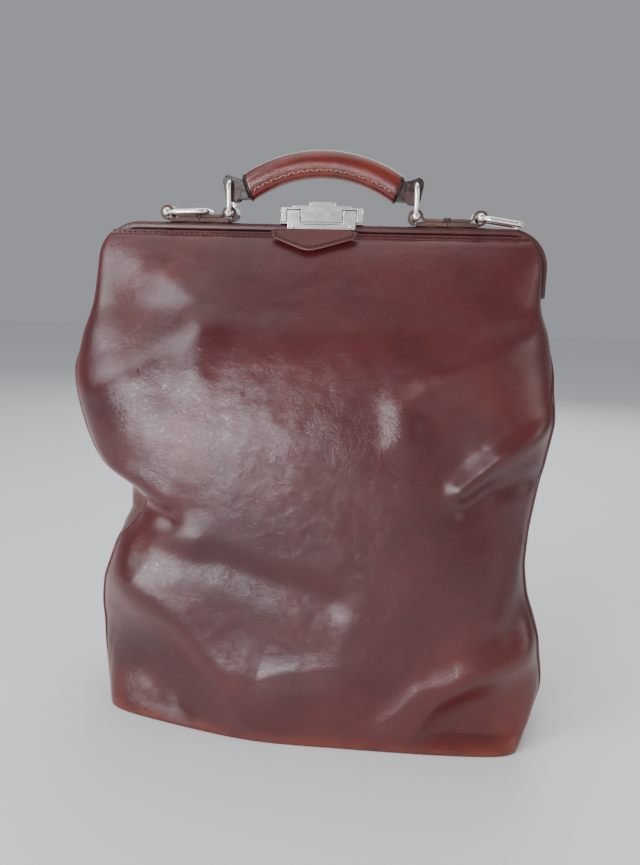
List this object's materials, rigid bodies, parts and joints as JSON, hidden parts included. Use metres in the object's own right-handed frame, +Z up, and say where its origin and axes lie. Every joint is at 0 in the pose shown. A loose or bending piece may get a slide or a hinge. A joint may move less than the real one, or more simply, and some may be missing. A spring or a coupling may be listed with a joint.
{
  "type": "doctor bag",
  "caption": "Tall soft leather doctor bag on a hinged, leather-covered steel frame, with a sliding lock, a rolled handle on rings and strap rings.",
  "frame": {"origin": "middle of the flat base, on the surface the bag stands on", "axes": "+Z up, +X along the frame and its hinge axis, front towards -Y"},
  "size_m": [0.46, 0.1918, 0.5516],
  "materials": {
    "body_leather": "smooth oxblood leather, semi-gloss",
    "frame_leather": "dark folded leather, semi-gloss",
    "tab_leather": "stitched leather with raw tan edges",
    "grip_leather": "polished red-brown leather",
    "dark_leather": "dark polished leather",
    "chape_leather": "leather with raw brown edges",
    "lining_fabric": "plain woven cotton",
    "base_board": "stiff fibre board",
    "nickel": "nickel plate, worn bright",
    "steel": "plain steel",
    "thread": "waxed thread",
    "rope_core": "cotton rope"
  },
  "bodies": {
    "root": {"front_panel": "body_leather", "back_panel": "body_leather", "right_gusset": "body_leather", "left_gusset": "body_leather", "base_panel": "body_leather", "base_board": "base_board", "lining": "lining_fabric", "hinge_pin_left": "steel", "hinge_pin_right": "steel"},
    "front_jaw": {"front_jaw_bar": "steel", "front_jaw_cover": "frame_leather", "front_panel_top": "body_leather", "hasp_plate": "nickel", "hasp_rivet_left": "steel", "hasp_rivet_right": "steel"},
    "pull_tab": {"pull_tab": "tab_leather", "pull_tab_backing": "tab_leather"},
    "rear_jaw": {"rear_jaw_bar": "steel", "rear_jaw_cover": "frame_leather", "back_panel_top": "body_leather", "lock_base_plate": "steel", "lock_case": "nickel", "lock_spring": "steel", "left_chape": "chape_leather", "right_chape": "chape_leather", "left_chape_tie": "thread", "right_chape_tie": "thread", "strap_ring_pin_left": "nickel", "strap_ring_pin_right": "nickel", "handle_ring_pin_left": "nickel", "handle_ring_pin_right": "nickel"},
    "slide_button": {"slide_button": "nickel", "lock_bolt": "steel"},
    "handle_ring_left": {"handle_ring_left": "nickel"},
    "handle_ring_right": {"handle_ring_right": "nickel"},
    "handle": {"handle_grip": "grip_leather", "handle_core": "rope_core", "handle_loop_left": "dark_leather", "handle_loop_right": "dark_leather"},
    "strap_ring_left": {"strap_ring_left": "nickel"},
    "strap_ring_right": {"strap_ring_right": "nickel"}
  },
  "joints": [
    {"name": "front_jaw_hinge", "type": "hinge", "parent": "root", "child": "front_jaw", "pos_m": [0, 0, 0.41], "axis": [1, 0, 0], "range_deg": [0, 50]},
    {"name": "rear_jaw_hinge", "type": "hinge", "parent": "root", "child": "rear_jaw", "pos_m": [0, 0, 0.41], "axis": [-1, 0, 0], "range_deg": [0, 50]},
    {"name": "pull_tab_hinge", "type": "hinge", "parent": "front_jaw", "child": "pull_tab", "pos_m": [-0.004, -0.0172, 0.4782], "axis": [-1, 0, 0], "range_deg": [0, 60]},
    {"name": "slide_button_slide", "type": "slide", "parent": "rear_jaw", "child": "slide_button", "axis": [1, 0, 0], "range_m": [0, 0.006], "stiffness_N_per_m": 250, "springref_m": -0.002},
    {"name": "handle_ring_left_hinge", "type": "hinge", "parent": "rear_jaw", "child": "handle_ring_left", "pos_m": [-0.0875, 0, 0.4925], "axis": [0, 1, 0], "range_deg": [-35, 35]},
    {"name": "handle_hinge", "type": "hinge", "parent": "handle_ring_left", "child": "handle", "pos_m": [-0.0875, 0, 0.5215], "axis": [0, 1, 0], "range_deg": [-35, 35]},
    {"name": "handle_ring_right_hinge", "type": "hinge", "parent": "rear_jaw", "child": "handle_ring_right", "pos_m": [0.0875, 0, 0.4925], "axis": [0, 1, 0], "range_deg": [-35, 35]},
    {"name": "strap_ring_left_hinge", "type": "hinge", "parent": "rear_jaw", "child": "strap_ring_left", "pos_m": [-0.147, 0, 0.4925], "axis": [0, -1, 0], "range_deg": [0, 184]},
    {"name": "strap_ring_right_hinge", "type": "hinge", "parent": "rear_jaw", "child": "strap_ring_right", "pos_m": [0.147, 0, 0.4925], "axis": [0, -1, 0], "range_deg": [0, 184]}
  ],
  "couplings": [
    {"joint": "rear_jaw_hinge", "follows": "front_jaw_hinge", "ratio": 1},
    {"joint": "handle_hinge", "follows": "handle_ring_left_hinge", "ratio": -1},
    {"joint": "handle_ring_right_hinge", "follows": "handle_ring_left_hinge", "ratio": 1}
  ]
}
